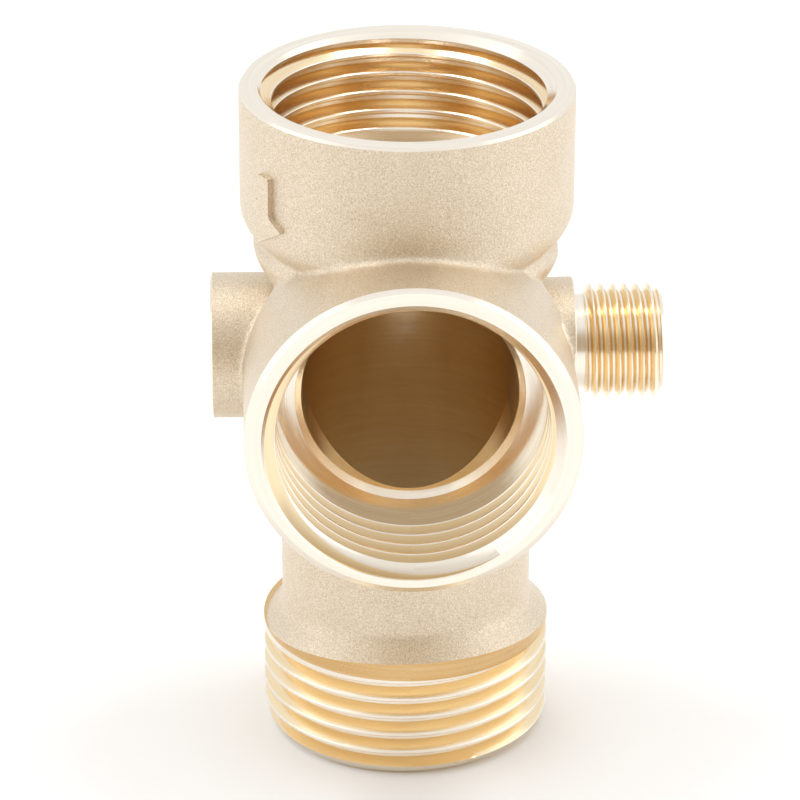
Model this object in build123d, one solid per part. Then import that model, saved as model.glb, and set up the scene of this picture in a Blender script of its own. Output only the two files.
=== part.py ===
from build123d import *
import math
import os

# Five-way brass pump fitting: one forging, bored and threaded on its five ports.
# It is written as the tubes and bosses that it is made of, which meet face to face.
# Millimetres, +Z up the main passage, origin at the centre of the bottom face.
# The front branch points to -Y, the gauge port to -X and the switch port to +X.

# Heights on the main axis
port_height = 47.7  # the front branch, gauge port and switch port share this height
socket_rise = 31.7  # from the port axis up to the rim of the upper socket

# Reaches from the main axis
branch_reach = 26.4
gauge_reach = 22.3
switch_reach = 19.0
nipple_length = 10.1

# Forged outsides
socket_radius = 18.8
branch_radius = 18.6
neck_radius = 14.45
gauge_boss_radius = 8.3
switch_boss_radius = 7.4
root_flare = 2.8  # concave flare at the root of each side boss
root_seat = 0.6  # how far the flares stop inside the barrel's own outside
collar_round = 5.2  # rounding under the upper socket
collar_round_drop = 3.6
collar_crease = 14.6  # crease between the two roundings, above the port axis
heel_round = 5.6  # second rounding, from the crease into the barrel
branch_round = 6.5  # rounding at the back of the front branch
branch_straight = 16.9  # straight outside of the front branch, from its rim

# Bores
main_bore_radius = 12.6
branch_bore_radius = 12.2
gauge_bore_radius = 4.25
switch_bore_radius = 3.5
bore_edge = 0.7  # chamfer where a threaded port steps down to its bore

# G1 and G1/4 pipe threads: 55 degree flanks, parallel, right-hand
large_major = 33.249 / 2
large_minor = 30.291 / 2
large_pitch = 25.4 / 11
small_major = 13.157 / 2
small_minor = 11.445 / 2
small_pitch = 25.4 / 19
flank = math.tan(math.radians(27.5))
flat_share = 1 / 6  # flat left on each crest and root, as a share of the pitch
crest_overrun = 0.25  # how far the cutter stands past the crest
socket_thread_depth = 12.45
branch_thread_depth = 12.45
gauge_thread_depth = 7.6
spigot_length = 13.7  # threads and plain band, up to where the lathe stopped
spigot_thread_length = 12.0
run_out = 0.7  # plain bore left under a female thread, in pitches
thread_start = 37.0  # degrees round the axis where every thread's cutter starts

# Edges
rim_lead = 1.55  # lead-in chamfer of the two large sockets
rim_edge = 0.3
branch_edge = 0.7
gauge_lead = 0.95
spigot_lead_in = 1.1
spigot_lead_up = 1.6
nipple_lead = 1.0
relief_length = 1.1  # turned neck between the switch boss and the nipple's thread
relief_depth = 0.25

# Flare between the neck and the spigot
flare_round = 2.6

# Raised flow arrow on the upper socket
arrow_length = 9.0
arrow_width = 6.0
arrow_head = 4.2
arrow_shaft = 2.2
arrow_relief = 0.6
arrow_drop = 11.0  # from the rim down to the middle of the arrow
arrow_bearing = 213.0  # degrees anticlockwise from +X, seen from above

branch_split = 13.2  # the front branch starts this far in front of the main axis
outreach = 5.0  # how far every cutter stands clear of what it cuts

top = port_height + socket_rise
flare_step = large_major - neck_radius
neck_foot = spigot_length + math.sqrt(flare_round**2 - (flare_round - flare_step) ** 2)
port = Pos(0, 0, port_height)


def lathe(edges):
    """Revolves a closed half outline, drawn as (radius, height), about Z."""
    return revolve(Plane.XZ * make_face(edges), Axis.Z)


def bar(radius, low, high):
    """A round bar along Z between two heights."""
    return Pos(0, 0, low) * Cylinder(radius, high - low, align=(Align.CENTER, Align.CENTER, Align.MIN))


def cone(low_radius, high_radius, low, high):
    """A tapered bar along Z between two heights."""
    centred = (Align.CENTER, Align.CENTER, Align.MIN)
    return Pos(0, 0, low) * Cone(low_radius, high_radius, high - low, align=centred)


def to_front(shape):
    """Swings a shape built along Z to point at -Y from the port axis."""
    return port * (Rot(90, 0, 0) * shape)


def to_left(shape):
    """Swings a shape built along Z to point at -X from the port axis."""
    return port * (Rot(0, -90, 0) * shape)


def to_right(shape):
    """Swings a shape built along Z to point at +X from the port axis."""
    return port * (Rot(0, 90, 0) * shape)


def groove(pitch, floor_radius, mouth_radius, low, high):
    """The helical space that a threading tool cuts along Z, between two heights.

    Its floor lies inside its mouth on a male thread, and outside it in a female one.
    """
    depth = abs(mouth_radius - floor_radius) + crest_overrun
    half_floor = pitch * flat_share / 2
    half_mouth = half_floor + depth * flank
    mouth = math.copysign(depth, mouth_radius - floor_radius)
    path = Helix(pitch, high - low, floor_radius, center=(0, 0, low))
    start = Plane(origin=path @ 0, x_dir=(1, 0, 0), z_dir=path % 0)
    outline = Polyline(
        (0, -half_floor), (0, half_floor), (mouth, half_mouth), (mouth, -half_mouth), close=True
    )
    return Rot(0, 0, thread_start) * sweep(start * make_face(outline), path=path, is_frenet=True)


def threaded_bar(pitch, minor, major, low, high, plain_end):
    """A round bar with a male thread between two heights, and plain on to its upper end."""
    return bar(major, low - 2 * pitch, plain_end) - groove(pitch, minor, major, low, high)


def tapped_block(radius, pitch, minor, major, shoulder, reach):
    """A round block with a female thread, from its shoulder to past the rim of the port."""
    spare = 2 * pitch
    block = bar(radius, 0, reach + 2 * spare)
    block -= bar(minor, shoulder, reach + 3 * spare)
    return block - groove(pitch, major, minor, shoulder + run_out * pitch, reach + spare)


def lead_in(minor, width, reach):
    """The chamfer that leads a male thread into a port whose rim is at a given reach."""
    return cone(minor, minor + width + outreach, reach - width, reach + outreach)


def stepped_bore(bore_radius, shoulder):
    """A bore with a chamfered edge, up to the shoulder of the port above it."""
    return bar(bore_radius, 0, shoulder) + cone(
        bore_radius, bore_radius + bore_edge, shoulder - bore_edge, shoulder
    )


def large_port(blank, reach, thread_depth, bore_radius):
    """A blank along Z with a G1 female port cut in its upper end."""
    shoulder = reach - thread_depth
    block = tapped_block(
        socket_radius + outreach, large_pitch, large_minor, large_major, shoulder, reach
    )
    body = (blank & block) - stepped_bore(bore_radius, shoulder)
    return body - lead_in(large_minor, rim_lead, reach)


def collar_blank():
    """Outside of the upper socket, with the two roundings under it."""
    straight_foot = collar_crease + collar_round_drop
    crease_radius = socket_radius - collar_round + math.sqrt(collar_round**2 - collar_round_drop**2)
    heel_radius = crease_radius - heel_round
    heel_foot = collar_crease - heel_round
    outline = [
        Line((0, socket_rise), (socket_radius - rim_edge, socket_rise)),
        Line((socket_radius - rim_edge, socket_rise), (socket_radius, socket_rise - rim_edge)),
        Line((socket_radius, socket_rise - rim_edge), (socket_radius, straight_foot)),
        RadiusArc((socket_radius, straight_foot), (crease_radius, collar_crease), collar_round),
        RadiusArc((crease_radius, collar_crease), (heel_radius, heel_foot), heel_round),
        Line((heel_radius, heel_foot), (0, heel_foot)),
        Line((0, heel_foot), (0, socket_rise)),
    ]
    return port * lathe(outline)


def branch_blank():
    """Outside of the front branch, along Z and rounded off behind."""
    straight_foot = branch_reach - branch_straight
    back = straight_foot - branch_round
    outline = [
        Line((0, branch_reach), (branch_radius - branch_edge, branch_reach)),
        Line((branch_radius - branch_edge, branch_reach), (branch_radius, branch_reach - branch_edge)),
        Line((branch_radius, branch_reach - branch_edge), (branch_radius, straight_foot)),
        RadiusArc((branch_radius, straight_foot), (branch_radius - branch_round, back), branch_round),
        Line((branch_radius - branch_round, back), (0, back)),
        Line((0, back), (0, branch_reach)),
    ]
    return lathe(outline)


def boss_blank(radius, reach):
    """A side boss along Z, flared where it grows out of the barrel."""
    root = neck_radius - root_seat
    outline = [
        Line((0, reach), (radius, reach)),
        Line((radius, reach), (radius, root + root_flare)),
        RadiusArc((radius, root + root_flare), (radius + root_flare, root), -root_flare),
        Line((radius + root_flare, root), (0, root)),
        Line((0, root), (0, reach)),
    ]
    return lathe(outline)


def barrel_blank():
    """Straight outside of the barrel, from the foot of the branch to the collar."""
    return bar(neck_radius, port_height - branch_radius, port_height + collar_crease)


def make_upper_socket():
    """Collar with the G1 female thread, around the top of the main passage."""
    body = large_port(collar_blank(), top, socket_thread_depth, main_bore_radius)
    return body - to_front(branch_blank())


def make_front_branch():
    """G1 female branch, up to the plane where it meets the barrel."""
    blank = branch_blank() & bar(socket_radius + outreach, branch_split, branch_reach)
    return to_front(large_port(blank, branch_reach, branch_thread_depth, branch_bore_radius))


def make_barrel():
    """Middle of the main passage, with the rounded back of the front branch."""
    branch = to_front(branch_blank())
    in_front = to_front(bar(socket_radius + outreach, branch_split, branch_reach))
    body = barrel_blank() - collar_blank() + branch - (branch & in_front)
    body -= bar(main_bore_radius, 0, top)
    body -= to_front(bar(branch_bore_radius, 0, branch_reach))
    body -= to_left(bar(gauge_bore_radius, 0, gauge_reach))
    body -= gauge_core()
    return body - to_right(bar(switch_bore_radius, 0, switch_reach))


def gauge_core():
    """The round of the gauge boss outside the barrel, which its port is tapped into."""
    core = to_left(bar(gauge_boss_radius, 0, gauge_reach)) - barrel_blank() - collar_blank()
    return core - to_front(bar(branch_bore_radius, 0, branch_reach))


def beyond_body(blank):
    """What is left of a side boss outside the barrel, the collar and the branch."""
    return blank - barrel_blank() - collar_blank() - to_front(branch_blank())


def make_gauge_boss():
    """Round boss with the G1/4 female gauge port."""
    shoulder = gauge_reach - gauge_thread_depth
    block = tapped_block(
        gauge_boss_radius + outreach, small_pitch, small_minor, small_major, shoulder, gauge_reach
    )
    block -= bar(gauge_bore_radius, 0, shoulder)
    block -= lead_in(small_minor, gauge_lead, gauge_reach)
    core = gauge_core() & to_left(block)
    rest = boss_blank(gauge_boss_radius, gauge_reach) - bar(gauge_boss_radius, 0, gauge_reach)
    return core + beyond_body(to_left(rest))


def make_switch_boss():
    """Shoulder that carries the switch nipple."""
    body = beyond_body(to_right(boss_blank(switch_boss_radius, switch_reach)))
    return body - to_right(bar(switch_bore_radius, 0, switch_reach))


def make_switch_nipple():
    """G1/4 male nipple that a pressure switch screws onto."""
    tip = switch_reach + nipple_length
    first_turn = switch_reach + relief_length
    outline = bar(small_major, first_turn, tip - nipple_lead)
    outline += cone(small_major, small_major - nipple_lead, tip - nipple_lead, tip)
    last_turn = tip + small_pitch
    plain_end = last_turn + 2 * small_pitch
    thread = threaded_bar(small_pitch, small_minor, small_major, first_turn, last_turn, plain_end)
    body = outline & thread
    body += bar(small_minor - relief_depth, switch_reach, first_turn)
    return to_right(body - bar(switch_bore_radius, 0, tip))


def make_lower_neck():
    """Plain tube under the branch, flaring onto the spigot."""
    outline = [
        Line((0, spigot_length), (large_major, spigot_length)),
        RadiusArc((large_major, spigot_length), (neck_radius, neck_foot), -flare_round),
        Line((neck_radius, neck_foot), (neck_radius, port_height - branch_radius)),
        Line((neck_radius, port_height - branch_radius), (0, port_height - branch_radius)),
        Line((0, port_height - branch_radius), (0, spigot_length)),
    ]
    return lathe(outline) - bar(main_bore_radius, 0, top)


def make_lower_spigot():
    """G1 male spigot at the foot of the main passage."""
    outline = bar(large_major, spigot_lead_up, spigot_length)
    outline += cone(large_major - spigot_lead_in, large_major, 0, spigot_lead_up)
    plain_end = spigot_length + 2 * large_pitch
    thread = threaded_bar(
        large_pitch, large_minor, large_major, -large_pitch, spigot_thread_length, plain_end
    )
    return (outline & thread) - bar(main_bore_radius, 0, top)


def make_flow_arrow():
    """Plain arrow raised on the upper socket, pointing down the main passage."""
    tip = -arrow_length / 2
    neck = tip + arrow_head
    outline = Polyline(
        (0, tip), (arrow_width / 2, neck), (arrow_shaft / 2, neck), (arrow_shaft / 2, -tip),
        (-arrow_shaft / 2, -tip), (-arrow_shaft / 2, neck), (-arrow_width / 2, neck), close=True,
    )
    prism = extrude(Plane.XZ.offset(-outreach) * make_face(outline), amount=-(socket_radius + outreach))
    skin = bar(socket_radius + arrow_relief, 0, top) - bar(socket_radius, 0, top)
    placed = Rot(0, 0, arrow_bearing - 90) * (Pos(0, 0, top - arrow_drop) * prism)
    return placed & skin


def make_parts():
    """Every region of the fitting by its name."""
    return {
        "upper_socket": make_upper_socket(),
        "front_branch": make_front_branch(),
        "barrel": make_barrel(),
        "gauge_boss": make_gauge_boss(),
        "switch_boss": make_switch_boss(),
        "switch_nipple": make_switch_nipple(),
        "lower_neck": make_lower_neck(),
        "lower_spigot": make_lower_spigot(),
        "flow_arrow": make_flow_arrow(),
    }


os.makedirs("parts", exist_ok=True)
for name, shape in make_parts().items():
    export_step(shape, f"parts/{name}.step")
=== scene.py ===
import math

import bpy
from mathutils import Euler, Matrix, Vector


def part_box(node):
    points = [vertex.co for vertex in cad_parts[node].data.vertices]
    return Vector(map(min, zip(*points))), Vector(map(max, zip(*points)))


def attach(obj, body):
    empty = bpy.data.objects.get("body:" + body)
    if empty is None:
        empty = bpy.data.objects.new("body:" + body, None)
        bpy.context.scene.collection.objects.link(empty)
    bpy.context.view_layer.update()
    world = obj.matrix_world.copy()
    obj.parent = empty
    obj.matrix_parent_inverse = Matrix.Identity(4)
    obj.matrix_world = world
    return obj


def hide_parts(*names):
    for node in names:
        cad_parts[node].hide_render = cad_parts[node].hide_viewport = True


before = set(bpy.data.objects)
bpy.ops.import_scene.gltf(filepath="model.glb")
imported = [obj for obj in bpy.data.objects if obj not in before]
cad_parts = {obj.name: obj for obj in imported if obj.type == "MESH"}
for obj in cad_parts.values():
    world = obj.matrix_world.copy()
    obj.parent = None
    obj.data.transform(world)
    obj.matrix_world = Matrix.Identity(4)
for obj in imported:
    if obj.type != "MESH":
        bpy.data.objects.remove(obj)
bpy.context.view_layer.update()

# The brass pump fitting is made here as its maker makes it: a forging, then every cut
# that the lathe, the drill and the taps take out of it. Sizes are in millimetres, and
# are turned into metres as each shape is placed. An outline is a list of (radius, height)
# about an upright axis: each port is built upright, then swung onto its own axis.
MM = 0.001
SIDES = 192  # edges round a turned shape
BOSS_SIDES = 128  # edges round the bar of a side boss
TURN_STEPS = 96  # steps in one turn of a thread


def centre_of(node):
    """Middle of a CAD piece's box, in metres."""
    lowest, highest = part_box(node)
    return (lowest + highest) / 2


# Places and reaches, read off the CAD pieces
PORT_HEIGHT = centre_of("switch_nipple").z / MM
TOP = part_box("upper_socket")[1].z / MM
BRANCH_REACH = -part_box("front_branch")[0].y / MM
GAUGE_REACH = -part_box("gauge_boss")[0].x / MM
SWITCH_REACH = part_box("switch_boss")[1].x / MM
NIPPLE_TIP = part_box("switch_nipple")[1].x / MM
SOCKET_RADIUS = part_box("upper_socket")[1].x / MM
BRANCH_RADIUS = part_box("front_branch")[1].x / MM

# Forged outside
NECK_RADIUS = 14.45
GAUGE_BOSS_RADIUS = 8.3
SWITCH_BOSS_RADIUS = 7.4
COLLAR_CREASE = 14.6  # height of the crease under the collar, above the ports' axis
COLLAR_ROUNDING = 4.6  # radius of the rounding above the crease
COLLAR_HEEL = 5.6  # radius of the heel below the crease
CREASE_STEP = 0.8  # how far the heel stands out past the foot of the rounding
BRANCH_ROUNDING = 6.5  # radius of the front branch's round back
NECK_LOW = 9.0  # the forging runs on below the cut at its foot
FOOT_RADIUS = 18.4
FOOT_ASIDE = (0.4, -1.3)  # how far the foot of the forging stands off the lathe's axis
FOOT_OVAL = (0.985, 1.02)  # the foot is a little narrower across than it is deep
ARROW_RELIEF = 0.58
GRAIN = 0.36  # spacing of the faces on the forged skin
SPARE = 3.0  # how far the forging stands past each face before it is cut
CORE = 2.0  # where the outline of a bar ends, well inside the bores
BOSS_CORE = 1.0

# Bores
MAIN_BORE = 12.6
BRANCH_BORE = 12.2
GAUGE_BORE = 4.25
SWITCH_BORE = 3.5
BORE_EDGE = 0.7

# G1 and G1/4 pipe threads
LARGE = {"major": 16.6245, "minor": 15.1455, "pitch": 25.4 / 11}
SMALL = {"major": 6.5785, "minor": 5.7225, "pitch": 25.4 / 19}
FLANK = math.tan(math.radians(27.5))
SOCKET_DEPTH = 12.45
BRANCH_DEPTH = 12.45
GAUGE_DEPTH = 7.6
LARGE_SLEEVE = 17.2  # outside of the threaded part of the two big ports, inside the brass
SMALL_SLEEVE = 7.2
RIM_LEAD = 1.55
GAUGE_LEAD = 0.95
FIRST_GROOVE = 0.7  # height of a port's first groove above its shoulder, in pitches

# Spigot and nipple
LAST_CREST = 12.75  # above this the spigot is a plain band
SPLIT = 13.1  # the spigot's thread and the forging meet in the plain band
FRONT_GROOVE = 2.19  # height of the spigot's lowest whole groove, straight in front
LAST_GROOVE = 12.26  # height at which the spigot's groove ends
NIPPLE_NECK = 5.47  # radius of the turned neck behind the nipple's thread
NIPPLE_NECK_LENGTH = 1.1
NIPPLE_LEAD = 1.0

# How far a cutter stands clear of the brass
CLEAR = 5.0

# The way that each port turns from one built upright on the main axis
AT_PORTS = Matrix.Translation((0, 0, PORT_HEIGHT * MM))
UPRIGHT = Matrix.Identity(4)
TO_FRONT = AT_PORTS @ Euler((math.radians(90), 0, 0)).to_matrix().to_4x4()
TO_LEFT = AT_PORTS @ Euler((0, math.radians(-90), 0)).to_matrix().to_4x4()
TO_RIGHT = AT_PORTS @ Euler((0, math.radians(90), 0)).to_matrix().to_4x4()


# ---------------------------------------------------------------- shaping tools

def start():
    """Clears the selection before a new primitive."""
    bpy.ops.object.select_all(action="DESELECT")


def pick(piece):
    """Makes one piece the only selected one."""
    if bpy.context.object and bpy.context.object.mode != "OBJECT":
        bpy.ops.object.mode_set(mode="OBJECT")
    start()
    bpy.context.view_layer.objects.active = piece
    piece.select_set(True)


def edit():
    """Opens the active piece for editing."""
    bpy.ops.object.mode_set(mode="EDIT")


def close():
    """Ends the editing of the active piece."""
    bpy.ops.object.mode_set(mode="OBJECT")


def settle():
    """Puts the active piece's place, turn and scale into its mesh."""
    bpy.ops.object.transform_apply(location=True, rotation=True, scale=True)


def swing(piece, place):
    """Turns a piece built upright onto its port's axis, and leaves its object at the origin."""
    pick(piece)
    piece.matrix_world = place @ piece.matrix_world
    settle()
    return piece


def modify(piece, kind, **settings):
    """Adds a modifier to a piece and applies it."""
    pick(piece)
    bpy.ops.object.modifier_add(type=kind)
    modifier = piece.modifiers[-1]
    for key, value in settings.items():
        setattr(modifier, key, value)
    bpy.ops.object.modifier_apply(modifier=modifier.name)


def work(piece, tool, operation="DIFFERENCE"):
    """Cuts, joins or crosses a piece with a tool, which brings its own finish to the new faces."""
    modify(piece, "BOOLEAN", object=tool, operation=operation, solver="MANIFOLD", material_mode="TRANSFER")
    bpy.data.objects.remove(tool)


def select_verts(piece, wanted):
    """Selects the points of a piece that a test on their place picks, in edit mode."""
    bpy.ops.mesh.select_mode(type="VERT")
    bpy.ops.mesh.select_all(action="DESELECT")
    close()
    for vertex in piece.data.vertices:
        vertex.select = bool(wanted(vertex.co))
    edit()
    bpy.ops.mesh.select_mode(type="VERT")


def outward():
    """Closes seams and turns every face outwards, in edit mode."""
    bpy.ops.mesh.select_all(action="SELECT")
    bpy.ops.mesh.remove_doubles(threshold=0.002 * MM)
    bpy.ops.mesh.normals_make_consistent(inside=False)


def smooth_faces(piece, angle):
    """Smooth shading inside each surface, and sharp edges where two cuts meet."""
    pick(piece)
    bpy.ops.object.shade_smooth_by_angle(angle=math.radians(angle))


def finish_of(piece, material):
    """Gives a piece one finish all over."""
    piece.data.materials.clear()
    piece.data.materials.append(material)
    return piece


def arc(centre, radius, from_deg, to_deg, steps):
    """Points of an arc in the outline's plane."""
    points = []
    for i in range(steps + 1):
        a = math.radians(from_deg + (to_deg - from_deg) * i / steps)
        points.append((centre[0] + radius * math.cos(a), centre[1] + radius * math.sin(a)))
    return points


def turned(name, outline, ring=False, sides=SIDES):
    """Turns an outline of (radius, height) about Z: one ring, pulled along the outline.

    A ring outline closes onto its own start, and any other is capped at both ends.
    """
    start()
    radius, height = outline[0]
    bpy.ops.mesh.primitive_circle_add(vertices=sides, radius=radius * MM, location=(0, 0, height * MM))
    piece = bpy.context.object
    piece.name = name
    settle()
    edit()
    bpy.ops.mesh.select_all(action="SELECT")
    if not ring:
        bpy.ops.mesh.edge_face_add()
    path = outline + outline[:1] if ring else outline
    for (r0, z0), (r1, z1) in zip(path, path[1:]):
        bpy.ops.mesh.extrude_edges_move(TRANSFORM_OT_translate={"value": (0, 0, (z1 - z0) * MM)})
        if r1 != r0:
            bpy.ops.transform.resize(value=(r1 / r0, r1 / r0, 1), center_override=(0, 0, z1 * MM))
    if not ring:
        bpy.ops.mesh.edge_face_add()
    outward()
    close()
    return piece


def thread_tool(name, thread, height, turns, inside, flank, land, start_deg=37.0):
    """The helical chip that a threading tool takes out, built upright.

    Its floor is the root of the thread, its mouth stands just past the crest, and the
    edges of the crest are broken by a narrow bevel. Its sides leave one finish on the
    Its sides and the bevel under each crest take the flank finish, and its floor and the
    other bevels take the land finish, a paler copy of the cut brass: painted highlight on
    the crest and root lines, and a painted fine shadow line under each crest.
    """
    pitch = thread["pitch"]
    root, crest = thread["minor"], thread["major"]
    if inside:
        root, crest = crest, root
    away = 1 if crest > root else -1
    bevel = 0.045 * pitch
    overrun = 0.04 * pitch
    depth = abs(crest - root) - bevel
    floor = pitch / 6
    knee = floor + 2 * depth * FLANK
    mouth = knee + 2 * (bevel + overrun)
    middle = root + away * depth / 2
    at_middle = (middle * MM, 0, height * MM)
    start()
    bpy.ops.mesh.primitive_plane_add(size=1, location=at_middle, rotation=(math.radians(90), 0, 0))
    tool = bpy.context.object
    tool.name = name
    tool.scale = (depth * MM, floor * MM, 1)
    settle()
    edit()
    select_verts(tool, lambda p: away * (p.x / MM - middle) > 0)
    bpy.ops.transform.resize(value=(1, 1, knee / floor), center_override=at_middle)
    bpy.ops.mesh.extrude_edges_move(
        TRANSFORM_OT_translate={"value": (away * (bevel + overrun) * MM, 0, 0)})
    bpy.ops.transform.resize(value=(1, 1, mouth / knee), center_override=at_middle)
    bpy.ops.mesh.select_all(action="SELECT")
    bpy.ops.mesh.dissolve_faces()
    bpy.ops.mesh.select_all(action="SELECT")
    bpy.ops.mesh.delete(type="ONLY_FACE")
    close()
    tool.rotation_euler = (0, 0, math.radians(start_deg))
    settle()
    steps = round(TURN_STEPS * turns)
    modify(tool, "SCREW", axis="Z", angle=2 * math.pi * turns, screw_offset=pitch * turns * MM,
           iterations=1, steps=steps, render_steps=steps, use_merge_vertices=False)
    edit()
    bpy.ops.mesh.select_all(action="SELECT")
    bpy.ops.mesh.fill_holes(sides=0)
    outward()
    close()
    tool.data.materials.append(flank)
    tool.data.materials.append(land)
    near = 0.01 * MM
    knee_radius = (root + away * depth) * MM
    for face in tool.data.polygons:
        radii = [math.hypot(*tool.data.vertices[v].co.xy) for v in face.vertices]
        on_floor = max(abs(r - root * MM) for r in radii) < near
        on_bevel = min(away * (r - knee_radius) for r in radii) > -near
        # A bevel under a crest takes the darker flank finish: a painted fine shadow line under each crest.
        # Floors and other bevels take the paler land finish: painted highlight on the crest and root lines.
        painted_shade_under_crest = face.normal.z > 0
        face.material_index = 1 if on_floor or (on_bevel and not painted_shade_under_crest) else 0
    return tool


# ---------------------------------------------------------------- finishes

class Recipe:
    """A small helper that wires one finish."""

    def __init__(self, name):
        self.material = bpy.data.materials.new(name)
        self.material.use_nodes = True
        self.nodes = self.material.node_tree.nodes
        self.links = self.material.node_tree.links
        self.shader = self.nodes["Principled BSDF"]
        self.where = self.nodes.new("ShaderNodeTexCoord").outputs["Object"]

    def node(self, kind, **settings):
        """A new node, with its own settings."""
        made = self.nodes.new(kind)
        for key, value in settings.items():
            setattr(made, key, value)
        return made

    def join(self, source, target):
        """Wires one socket to another."""
        self.links.new(source, target)

    def set(self, **values):
        """Plain values of the shader, with spaces in their names written as underscores."""
        for key, value in values.items():
            self.shader.inputs[key.replace("_", " ")].default_value = value

    def noise(self, vector, scale, detail, rough):
        """Random cloud of this scale."""
        made = self.node("ShaderNodeTexNoise")
        made.inputs["Scale"].default_value = scale
        made.inputs["Detail"].default_value = detail
        made.inputs["Roughness"].default_value = rough
        self.join(vector, made.inputs["Vector"])
        return made.outputs["Fac"]

    def band(self, value, low, high, to_low, to_high):
        """Stretches a value from one range to another."""
        made = self.node("ShaderNodeMapRange")
        made.inputs["From Min"].default_value = low
        made.inputs["From Max"].default_value = high
        made.inputs["To Min"].default_value = to_low
        made.inputs["To Max"].default_value = to_high
        self.join(value, made.inputs["Value"])
        return made.outputs["Result"]

    def tint(self, value, dark, pale):
        """Colour between dark and pale."""
        made = self.node("ShaderNodeMix", data_type="RGBA")
        made.inputs[6].default_value = (*dark, 1)
        made.inputs[7].default_value = (*pale, 1)
        self.join(value, made.inputs[0])
        return made.outputs[2]

    def maths(self, operation, *values):
        """One sum on numbers or sockets."""
        made = self.node("ShaderNodeMath", operation=operation)
        for socket, value in zip(made.inputs, values):
            if isinstance(value, (int, float)):
                socket.default_value = value
            else:
                self.join(value, socket)
        return made.outputs[0]

    def bump(self, height, depth, strength):
        """Normal of a surface with this relief."""
        made = self.node("ShaderNodeBump")
        made.inputs["Strength"].default_value = strength
        made.inputs["Distance"].default_value = depth
        self.join(height, made.inputs["Height"])
        return made.outputs["Normal"]

    def round_axis(self, axis):
        """Distance from a port's axis, height along it and bearing, packed as one vector."""
        apart = self.node("ShaderNodeSeparateXYZ")
        shifted = self.node("ShaderNodeMapping")
        shifted.inputs["Location"].default_value = (0, 0, 0 if axis == "Z" else -PORT_HEIGHT * MM)
        self.join(self.where, shifted.inputs["Vector"])
        self.join(shifted.outputs["Vector"], apart.inputs[0])
        across = [apart.outputs[k] for k in "XYZ" if k != axis]
        squares = [self.maths("MULTIPLY", a, a) for a in across]
        radius = self.maths("SQRT", self.maths("ADD", *squares))
        bearing = self.maths("ARCTAN2", *across)
        packed = self.node("ShaderNodeCombineXYZ")
        self.join(radius, packed.inputs[0])
        self.join(apart.outputs[axis], packed.inputs[1])
        self.join(self.maths("MULTIPLY", bearing, 0.0004), packed.inputs[2])
        return packed.outputs[0]


def forged_finish():
    """Shot-blasted forging skin: matt, pale, with grains a third of a millimetre across."""
    r = Recipe("forged_skin_shot_blasted")
    grain = r.noise(r.where, scale=6500, detail=2.0, rough=0.55)
    fine = r.noise(r.where, scale=15000, detail=1.0, rough=0.5)
    patch = r.noise(r.where, scale=160, detail=3.0, rough=0.5)
    mixed = r.maths("ADD", r.maths("MULTIPLY", grain, 0.75), r.maths("MULTIPLY", fine, 0.25))
    colour = r.tint(r.band(mixed, 0.38, 0.62, 0, 1), (0.62, 0.51, 0.36), (0.88, 0.78, 0.64))
    r.join(colour, r.shader.inputs["Base Color"])
    r.set(Metallic=1.0, Coat_Weight=0.35, Coat_Roughness=0.45)
    r.join(r.band(patch, 0.3, 0.7, 0.40, 0.52), r.shader.inputs["Roughness"])
    r.join(r.bump(mixed, depth=0.00009, strength=0.8), r.shader.inputs["Normal"])
    return r.material


def turned_finish(name, axis, dark, pale, rough, depth):
    """Lathe-cut brass: fine rings about one axis."""
    r = Recipe(name)
    rings = r.noise(r.round_axis(axis), scale=9000, detail=2.0, rough=0.6)
    broad = r.noise(r.round_axis(axis), scale=1500, detail=2.0, rough=0.5)
    r.join(r.tint(r.band(broad, 0.3, 0.7, 0, 1), dark, pale), r.shader.inputs["Base Color"])
    r.set(Metallic=1.0)
    r.join(r.band(rings, 0.3, 0.7, rough * 0.8, rough * 1.2), r.shader.inputs["Roughness"])
    r.join(r.bump(rings, depth, strength=0.6), r.shader.inputs["Normal"])
    return r.material


def three_ways(name, **look):
    """The same cut finish about the upright, front and side axes."""
    ways = {"upright": "Z", "front": "Y", "side": "X"}
    return [turned_finish(f"{name}_{way}", axis, **look) for way, axis in ways.items()]


FORGED = forged_finish()
# The turned-face finish is the cut brass of rims and shoulders. On the thread lands this paler finish is
# painted highlight on the crest and root lines.
FACE_TOP, FACE_FRONT, FACE_SIDE = three_ways(
    "turned_face", dark=(0.88, 0.81, 0.70), pale=(0.94, 0.88, 0.78), rough=0.20, depth=0.000006)
THREAD_TOP, THREAD_FRONT, THREAD_SIDE = three_ways(
    "cut_thread", dark=(0.89, 0.70, 0.43), pale=(0.93, 0.77, 0.52), rough=0.19, depth=0.000004)
# The plain band is the same turned brass as the thread, given a darker, oranger colour: painted shade and
# painted reflection of the darker front.
BAND_PAINTED_SHADE = turned_finish(
    "turned_band_painted_shade", "Z", dark=(0.66, 0.42, 0.18), pale=(0.72, 0.50, 0.26), rough=0.28, depth=0.000004)
# The bores are the same drilled brass as the threads, given a paler, brighter colour: painted light inside
# the bores, which lie in shade.
BORE_PAINTED_LIGHT_TOP, BORE_PAINTED_LIGHT_FRONT, BORE_PAINTED_LIGHT_SIDE = three_ways(
    "bored_painted_light", dark=(0.96, 0.80, 0.56), pale=(0.99, 0.86, 0.64), rough=0.22, depth=0.000012)


# ---------------------------------------------------------------- the forging

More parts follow.
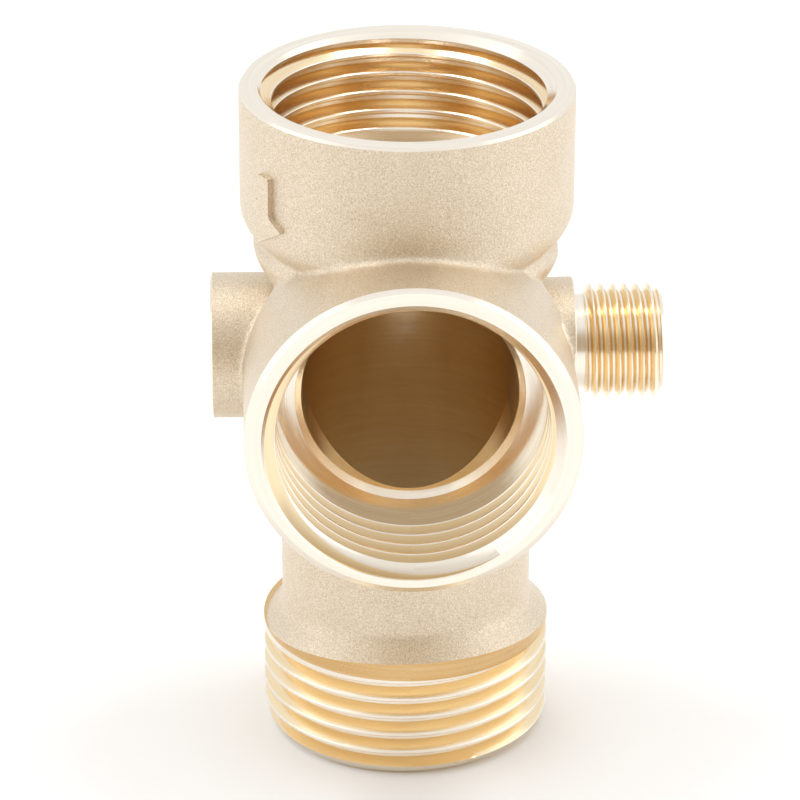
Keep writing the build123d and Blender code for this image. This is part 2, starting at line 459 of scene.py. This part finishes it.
def collar_bar():
    """Upper socket: straight side, rounding, crease, then a fuller heel into the barrel."""
    side = TOP + SPARE
    crease = PORT_HEIGHT + COLLAR_CREASE
    upper = arc((SOCKET_RADIUS - COLLAR_ROUNDING, crease + 3.6), COLLAR_ROUNDING, 0, -58, 12)
    crease_radius = upper[-1][0] + CREASE_STEP
    heel = arc((crease_radius - COLLAR_HEEL, crease - 0.9), COLLAR_HEEL, 0, -90, 14)
    outline = [(CORE, side), (SOCKET_RADIUS, side), *upper, *heel[1:], (CORE, heel[-1][1])]
    return turned("collar_bar", outline)


def branch_bar():
    """Front branch: straight side and a round back."""
    end = BRANCH_REACH + SPARE
    back = arc((BRANCH_RADIUS - BRANCH_ROUNDING, 9.5), BRANCH_ROUNDING, 0, -90, 14)
    outline = [(CORE, end), (BRANCH_RADIUS, end), *back, (CORE, back[-1][1])]
    return swing(turned("branch_bar", outline), TO_FRONT)


def boss_bar(name, radius, reach, place):
    """Bar of a side boss, from the main axis out past its face."""
    end = reach + SPARE
    outline = [(BOSS_CORE, 0.0), (radius, 0.0), (radius, end), (BOSS_CORE, end)]
    return swing(turned(name, outline, sides=BOSS_SIDES), place)


def neck_bar():
    """Barrel and lower neck."""
    top = PORT_HEIGHT + COLLAR_CREASE
    return turned("neck_bar", [(CORE, NECK_LOW), (NECK_RADIUS, NECK_LOW), (NECK_RADIUS, top), (CORE, top)])


def foot_bar():
    """Foot of the forging, flaring onto the spigot.

    It stands forward of the lathe's axis and is a little oval, so the lathe reaches
    higher up it in front than at its sides.
    """
    flare = [(FOOT_RADIUS, 11.5), (17.6, 12.5), (16.6, 13.4), (15.7, 14.3)]
    flare += [(14.9, 15.1), (14.2, 15.8), (13.5, 16.5), (13.0, 17.1)]
    bar = turned("foot_bar", [(CORE, NECK_LOW), (FOOT_RADIUS, NECK_LOW), *flare, (CORE, flare[-1][1])])
    edit()
    bpy.ops.mesh.select_all(action="SELECT")
    bpy.ops.transform.resize(value=(*FOOT_OVAL, 1), center_override=(0, 0, 0))
    bpy.ops.transform.translate(value=(FOOT_ASIDE[0] * MM, FOOT_ASIDE[1] * MM, 0))
    close()
    return bar


def arrow_bar():
    """Plain flow arrow for the upper socket, pointing down, wrapped on its side."""
    start()
    bpy.ops.mesh.primitive_cube_add(size=1, location=(SOCKET_RADIUS * MM, 0, (TOP - 9.1) * MM))
    arrow = bpy.context.object
    arrow.scale = (6 * MM, 2.2 * MM, 5.2 * MM)
    settle()
    bpy.ops.mesh.primitive_cylinder_add(
        vertices=3, radius=3.2 * MM, depth=6 * MM,
        location=(SOCKET_RADIUS * MM, 0, (TOP - 12.3) * MM), rotation=(0, math.radians(90), 0))
    head = bpy.context.object
    settle()
    work(arrow, head, "UNION")
    modify(arrow, "BEVEL", width=0.3 * MM, segments=2)
    edge = SOCKET_RADIUS + 0.3
    face = SOCKET_RADIUS + ARROW_RELIEF
    skin = turned("arrow_skin", [(edge, TOP - 30), (face, TOP - 15.5), (face, TOP - 6.6), (edge, TOP)])
    work(arrow, skin, "INTERSECT")
    core = turned("arrow_core", [(SOCKET_RADIUS - 1, TOP - 30), (SOCKET_RADIUS - 1, TOP)])
    work(arrow, core)
    middle = centre_of("flow_arrow")
    return swing(arrow, Euler((0, 0, math.atan2(middle.y, middle.x))).to_matrix().to_4x4())


def near_a_joint(p):
    """True close to a line where two of the forging's bars run into each other."""
    up = p.z - PORT_HEIGHT
    off_axis = math.hypot(p.x, p.y)
    if 14.5 < p.z < 18.5 and off_axis < NECK_RADIUS + 0.9:
        return True
    from_branch = abs(math.hypot(p.x, up) - BRANCH_RADIUS)
    wall = SOCKET_RADIUS if up > COLLAR_CREASE + 2 else NECK_RADIUS
    if p.y < -8 and from_branch < 2.4 and abs(off_axis - wall) < 2.6:
        return True
    boss = GAUGE_BOSS_RADIUS if p.x < 0 else SWITCH_BOSS_RADIUS
    return abs(math.hypot(p.y, up) - boss) < 2.0 and off_axis < NECK_RADIUS + 3.2


def soften(body, rounds, zone=None):
    """Evens the skin out, all over or only where a zone says."""
    where = {}
    if zone:
        pick(body)
        edit()
        select_verts(body, lambda p: zone(p / MM))
        body.vertex_groups.new(name="zone")
        bpy.ops.object.vertex_group_set_active(group="zone")
        bpy.ops.object.vertex_group_assign()
        close()
        where = {"vertex_group": "zone"}
    modify(body, "SMOOTH", factor=0.5, iterations=rounds, **where)
    body.vertex_groups.clear()


def forge():
    """Joins the bars and lets the metal flow: one skin, rounded where the bars meet."""
    body = neck_bar()
    for bar in (
        foot_bar(),
        collar_bar(),
        branch_bar(),
        boss_bar("gauge_bar", GAUGE_BOSS_RADIUS, GAUGE_REACH, TO_LEFT),
        boss_bar("switch_bar", SWITCH_BOSS_RADIUS, SWITCH_REACH, TO_RIGHT),
    ):
        work(body, bar, "UNION")
    modify(body, "REMESH", mode="VOXEL", voxel_size=GRAIN * MM)
    soften(body, 2)
    soften(body, 26, near_a_joint)
    soften(body, 1)
    work(body, arrow_bar(), "UNION")
    body.name = "forged_body"
    return finish_of(body, FORGED)


# ---------------------------------------------------------------- the cuts

def facing_tool(name, reach, radius, edge, place, material, aside=0.0):
    """Faces a port off flat at its reach, and breaks its outer edge at 45 degrees.

    The cut may stand a little to one side of the forging, which makes the edge uneven.
    """
    heel = reach - edge - 2
    outline = [(radius - edge, reach), (radius + 2, heel), (radius + 8, heel)]
    outline += [(radius + 8, reach + 6.0), (radius - edge, reach + 6.0)]
    tool = swing(turned(name, outline), Matrix.Translation((0, 0, aside * MM)) @ place)
    return finish_of(tool, material)


def bore_tool(name, radius, bottom, top, place, material):
    """Drills one straight hole."""
    return finish_of(swing(turned(name, [(radius, bottom), (radius, top)]), place), material)


def port_tool(name, bore, sleeve, shoulder, reach, place, material):
    """Opens a port for its thread: bore edge, shoulder and the wide part above it."""
    outline = [(bore - 0.3, shoulder - BORE_EDGE - 0.3), (bore + BORE_EDGE, shoulder)]
    outline += [(sleeve, shoulder), (sleeve, reach + 3)]
    return finish_of(swing(turned(name, outline), place), material)


def foot_tools():
    """Turns the foot's plain band, then parts the forging off at the top of the spigot."""
    band = LARGE["major"]
    lathe = turned("lathe_cut", [(band, 8.0), (24.0, 8.0), (24.0, 18.0), (band, 18.0)], ring=True)
    parting = turned("foot_cut", [(26.0, 5.0), (26.0, SPLIT)])
    # The band cut takes the darker band finish, which is painted shade.
    return finish_of(lathe, BAND_PAINTED_SHADE), finish_of(parting, THREAD_TOP)


def machine(body):
    """Takes every bore and face out of the forging."""
    for tool in (
        facing_tool("face_top", TOP, SOCKET_RADIUS, 0.3, UPRIGHT, FACE_TOP),
        facing_tool("face_front", BRANCH_REACH, BRANCH_RADIUS, 0.75, TO_FRONT, FACE_FRONT, aside=0.3),
        facing_tool("face_left", GAUGE_REACH, GAUGE_BOSS_RADIUS, 0.25, TO_LEFT, FACE_SIDE),
        facing_tool("face_right", SWITCH_REACH, SWITCH_BOSS_RADIUS, 0.12, TO_RIGHT, FACE_SIDE),
        *foot_tools(),
        # The bores take the paler bore finish, which is painted light.
        bore_tool("main_bore", MAIN_BORE, CLEAR, TOP + CLEAR, UPRIGHT, BORE_PAINTED_LIGHT_TOP),
        bore_tool("branch_bore", BRANCH_BORE, 0.0, BRANCH_REACH + CLEAR, TO_FRONT, BORE_PAINTED_LIGHT_FRONT),
        bore_tool("gauge_bore", GAUGE_BORE, 0.0, GAUGE_REACH + CLEAR, TO_LEFT, BORE_PAINTED_LIGHT_SIDE),
        bore_tool("switch_bore", SWITCH_BORE, 0.0, SWITCH_REACH + CLEAR, TO_RIGHT, BORE_PAINTED_LIGHT_SIDE),
        port_tool("top_port", MAIN_BORE, LARGE_SLEEVE, TOP - SOCKET_DEPTH, TOP, UPRIGHT, FACE_TOP),
        port_tool("front_port", BRANCH_BORE, LARGE_SLEEVE, BRANCH_REACH - BRANCH_DEPTH,
                  BRANCH_REACH, TO_FRONT, FACE_FRONT),
        port_tool("gauge_port", GAUGE_BORE, SMALL_SLEEVE, GAUGE_REACH - GAUGE_DEPTH,
                  GAUGE_REACH, TO_LEFT, FACE_SIDE),
    ):
        work(body, tool)
    smooth_faces(body, 32)
    return body


# ---------------------------------------------------------------- the threads

def threaded_port(name, thread, sleeve, lead, depth, reach, place, face, flank):
    """The threaded wall of a port, from its shoulder out to its rim."""
    shoulder = reach - depth
    minor, pitch = thread["minor"], thread["pitch"]
    outline = [(minor, shoulder), (sleeve, shoulder), (sleeve, reach)]
    outline += [(minor + lead, reach), (minor, reach - lead)]
    port = finish_of(turned(name, outline, ring=True), face)
    groove = shoulder + FIRST_GROOVE * pitch
    turns = (reach - groove) / pitch + 1
    work(port, thread_tool(name + "_tap", thread, groove, turns, True, flank, face))
    smooth_faces(port, 25)
    return swing(port, place)


def switch_nipple():
    """G1/4 male nipple with a turned neck behind its thread."""
    first = SWITCH_REACH + NIPPLE_NECK_LENGTH
    major, pitch = SMALL["major"], SMALL["pitch"]
    outline = [(SWITCH_BORE, SWITCH_REACH), (NIPPLE_NECK, SWITCH_REACH), (NIPPLE_NECK, first)]
    outline += [(major, first + 0.35), (major, NIPPLE_TIP - NIPPLE_LEAD), (major - NIPPLE_LEAD, NIPPLE_TIP)]
    outline += [(SWITCH_BORE + 0.3, NIPPLE_TIP), (SWITCH_BORE, NIPPLE_TIP - 0.3)]
    piece = finish_of(turned("nipple_thread", outline, ring=True), FACE_SIDE)
    turns = (NIPPLE_TIP - first) / pitch + 1
    work(piece, thread_tool("nipple_die", SMALL, first - 0.3, turns, False, THREAD_SIDE, FACE_SIDE))
    smooth_faces(piece, 25)
    return swing(piece, TO_RIGHT)


def spigot():
    """G1 male thread at the foot, with the plain band where the lathe stopped."""
    major, pitch = LARGE["major"], LARGE["pitch"]
    outline = [(MAIN_BORE, 0.5), (MAIN_BORE + 0.5, 0.0), (major - 1.1, 0.0), (major, 1.6)]
    outline += [(major, LAST_CREST), (major, SPLIT), (MAIN_BORE, SPLIT)]
    piece = finish_of(turned("spigot_thread", outline, ring=True), FACE_TOP)
    # Faces above the last crest take the darker band finish: painted shade on the plain band.
    piece.data.materials.append(BAND_PAINTED_SHADE)
    for face in piece.data.polygons:
        if face.center.z > LAST_CREST * MM:
            face.material_index = 1
    groove = FRONT_GROOVE - 2 * pitch
    turns = (LAST_GROOVE - groove) / pitch
    work(piece, thread_tool("spigot_die", LARGE, groove, turns, False, THREAD_TOP, FACE_TOP, start_deg=270))
    smooth_faces(piece, 25)
    return piece


body = machine(forge())
upper_port = threaded_port("upper_port_thread", LARGE, LARGE_SLEEVE, RIM_LEAD, SOCKET_DEPTH, TOP,
                           UPRIGHT, FACE_TOP, THREAD_TOP)
front_port = threaded_port("front_port_thread", LARGE, LARGE_SLEEVE, RIM_LEAD, BRANCH_DEPTH,
                           BRANCH_REACH, TO_FRONT, FACE_FRONT, THREAD_FRONT)
gauge_port = threaded_port("gauge_port_thread", SMALL, SMALL_SLEEVE, GAUGE_LEAD, GAUGE_DEPTH,
                           GAUGE_REACH, TO_LEFT, FACE_SIDE, THREAD_SIDE)
nipple = switch_nipple()
lower = spigot()

FORGED_NODES = ("upper_socket", "front_branch", "barrel", "gauge_boss", "switch_boss", "lower_neck",
                "flow_arrow")
STANDS_FOR = {
    body: FORGED_NODES,
    upper_port: ("upper_socket",),
    front_port: ("front_branch",),
    gauge_port: ("gauge_boss",),
    nipple: ("switch_nipple",),
    lower: ("lower_spigot",),
}
for piece, nodes in STANDS_FOR.items():
    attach(piece, "root")
    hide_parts(*nodes)


# ---------------------------------------------------------------- studio

def studio_floor():
    """White paper under the fitting."""
    start()
    bpy.ops.mesh.primitive_plane_add(size=6, location=(0, 0, 0))
    floor = bpy.context.object
    floor.name = "studio_floor"
    paper = bpy.data.materials.new("white_paper")
    paper.use_nodes = True
    shader = paper.node_tree.nodes["Principled BSDF"]
    shader.inputs["Base Color"].default_value = (0.93, 0.93, 0.93, 1)
    shader.inputs["Roughness"].default_value = 0.9
    floor.data.materials.append(paper)


def white_tent():
    """White all round, but for a brown opening in front."""
    world = bpy.data.worlds.new("white_tent")
    bpy.context.scene.world = world
    world.use_nodes = True
    tent = world.node_tree
    background = tent.nodes["Background"]
    apart = tent.nodes.new("ShaderNodeSeparateXYZ")
    tent.links.new(tent.nodes.new("ShaderNodeTexCoord").outputs["Generated"], apart.inputs[0])
    opening = tent.nodes.new("ShaderNodeMapRange")
    opening.interpolation_type = "SMOOTHSTEP"
    opening.inputs["From Min"].default_value = -0.92
    opening.inputs["From Max"].default_value = -0.45
    tent.links.new(apart.outputs["Y"], opening.inputs["Value"])
    walls = tent.nodes.new("ShaderNodeMix")
    walls.data_type = "RGBA"
    walls.inputs[6].default_value = (0.52, 0.42, 0.30, 1)
    walls.inputs[7].default_value = (0.97, 0.97, 0.97, 1)
    tent.links.new(opening.outputs["Result"], walls.inputs[0])
    tent.links.new(walls.outputs[2], background.inputs["Color"])


def lamp(name, place, size, power):
    """A square lamp, aimed at the middle of the fitting."""
    bpy.ops.object.light_add(type="AREA", location=place)
    light = bpy.context.object
    light.name = name
    light.data.shape = "SQUARE"
    light.data.size = size
    light.data.energy = power
    light.rotation_mode = "QUATERNION"
    light.rotation_quaternion = (Vector((0, 0, 0.04)) - Vector(place)).to_track_quat("-Z", "Y")


def camera():
    """A long lens, half a metre away, in front and looking down on the ports."""
    turn = Euler((0, 0, math.radians(-1.87))).to_matrix()
    tilt = Euler((math.radians(90 - 25.85), 0, 0)).to_matrix()
    roll = Euler((0, 0, math.radians(0.17))).to_matrix()
    facing = turn @ tilt
    right, up, back = facing.col[0], facing.col[1], facing.col[2]
    aim = Vector((0, 0, PORT_HEIGHT)) - 0.705 * right - 6.538 * up
    bpy.ops.object.camera_add()
    shot = bpy.context.object
    shot.name = "camera"
    shot.data.lens = 196.96
    shot.data.sensor_width = 36
    shot.data.clip_start = 0.01
    shot.data.clip_end = 20
    shot.matrix_world = Matrix.Translation((aim + 500 * back) * MM) @ (facing @ roll).to_4x4()
    bpy.context.scene.camera = shot


studio_floor()
white_tent()
lamp("left_softbox", (-0.75, -0.12, 0.42), 0.9, 0.9)
lamp("right_softbox", (0.75, -0.05, 0.42), 0.9, 1.1)
lamp("left_overhead", (-0.30, 0.12, 0.95), 0.22, 1.5)
lamp("right_overhead", (0.30, 0.12, 0.95), 0.22, 1.5)
camera()
bpy.context.scene.view_settings.view_transform = "Standard"
bpy.context.scene.cycles.glossy_bounces = 10
